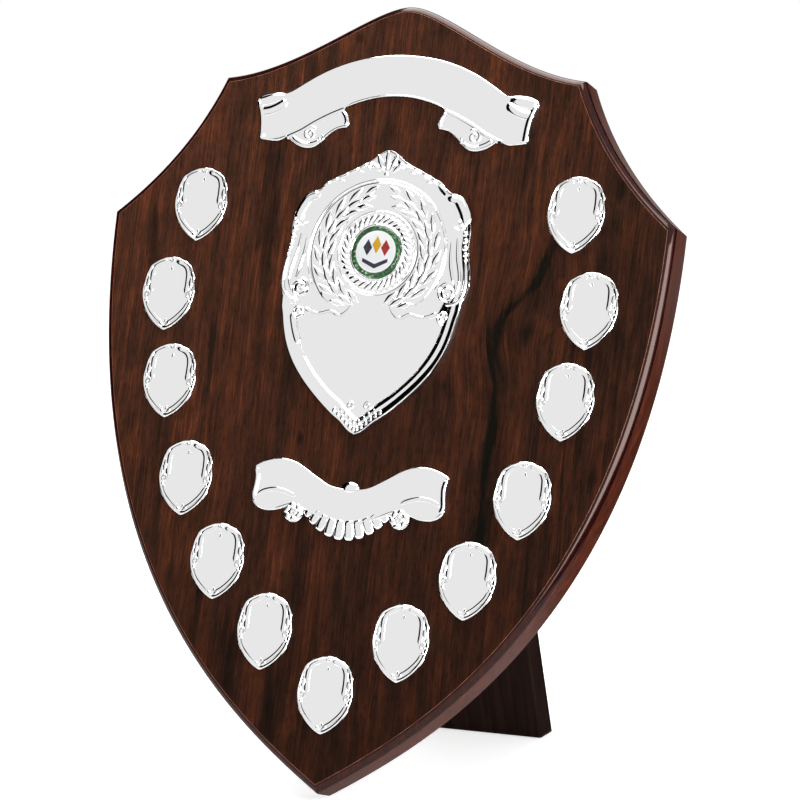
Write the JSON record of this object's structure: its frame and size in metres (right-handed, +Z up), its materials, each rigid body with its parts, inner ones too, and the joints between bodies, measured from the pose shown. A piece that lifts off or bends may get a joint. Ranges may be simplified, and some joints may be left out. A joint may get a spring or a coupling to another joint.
{
  "type": "perpetual award shield",
  "caption": "Heater-shaped wooden award shield with pressed metal trims, a domed centre medallion and a hinged leg that folds flat behind it.",
  "frame": {"origin": "middle of the footprint, on the surface the shield stands on", "axes": "+X to the viewer's right, +Y away from the viewer through the shield, +Z up"},
  "size_m": [0.2928, 0.1782, 0.3678],
  "materials": {
    "board_wood": "satin lacquered dark veneer with a glossy red-brown moulded edge",
    "leg_wood": "dark stained, thin satin lacquer",
    "bright_nickel": "bright nickel plated",
    "disc_print": "printed foil disc",
    "disc_resin": "clear domed resin",
    "tape": "double-sided adhesive tape",
    "hinge_steel": "brushed, lightly plated"
  },
  "bodies": {
    "shield": {"shield_board": "board_wood", "arched_scroll": "bright_nickel", "centre_shield": "bright_nickel", "centre_disc": "disc_print", "disc_dome": "disc_resin", "winged_scroll": "bright_nickel", "side_shield_01": "bright_nickel", "side_shield_02": "bright_nickel", "side_shield_03": "bright_nickel", "side_shield_04": "bright_nickel", "side_shield_05": "bright_nickel", "side_shield_06": "bright_nickel", "side_shield_07": "bright_nickel", "side_shield_08": "bright_nickel", "side_shield_09": "bright_nickel", "side_shield_10": "bright_nickel", "side_shield_11": "bright_nickel", "side_shield_12": "bright_nickel", "side_shield_13": "bright_nickel", "shield_pin_01_upper": "bright_nickel", "shield_pin_01_lower": "bright_nickel", "shield_pin_02_upper": "bright_nickel", "shield_pin_02_lower": "bright_nickel", "shield_pin_03_upper": "bright_nickel", "shield_pin_03_lower": "bright_nickel", "shield_pin_04_upper": "bright_nickel", "shield_pin_04_lower": "bright_nickel", "shield_pin_05_upper": "bright_nickel", "shield_pin_05_lower": "bright_nickel", "shield_pin_06_upper": "bright_nickel", "shield_pin_06_lower": "bright_nickel", "shield_pin_07_upper": "bright_nickel", "shield_pin_07_lower": "bright_nickel", "shield_pin_08_upper": "bright_nickel", "shield_pin_08_lower": "bright_nickel", "shield_pin_09_upper": "bright_nickel", "shield_pin_09_lower": "bright_nickel", "shield_pin_10_upper": "bright_nickel", "shield_pin_10_lower": "bright_nickel", "shield_pin_11_upper": "bright_nickel", "shield_pin_11_lower": "bright_nickel", "shield_pin_12_upper": "bright_nickel", "shield_pin_12_lower": "bright_nickel", "shield_pin_13_upper": "bright_nickel", "shield_pin_13_lower": "bright_nickel", "arch_tape_left": "tape", "arch_tape_right": "tape", "centre_tape": "tape", "wing_tape": "tape", "hinge_leaf_board": "hinge_steel", "hinge_pin": "hinge_steel", "board_screw_left": "hinge_steel", "board_screw_right": "hinge_steel"},
    "leg": {"leg_panel": "leg_wood", "hinge_leaf_leg": "hinge_steel", "leg_screw_left": "hinge_steel", "leg_screw_right": "hinge_steel"}
  },
  "joints": [
    {"name": "leg_fold", "type": "hinge", "parent": "shield", "child": "leg", "pos_m": [0, -0.00076, 0.22085], "axis": [-1, 0, 0], "range_deg": [0, 34.8]}
  ]
}
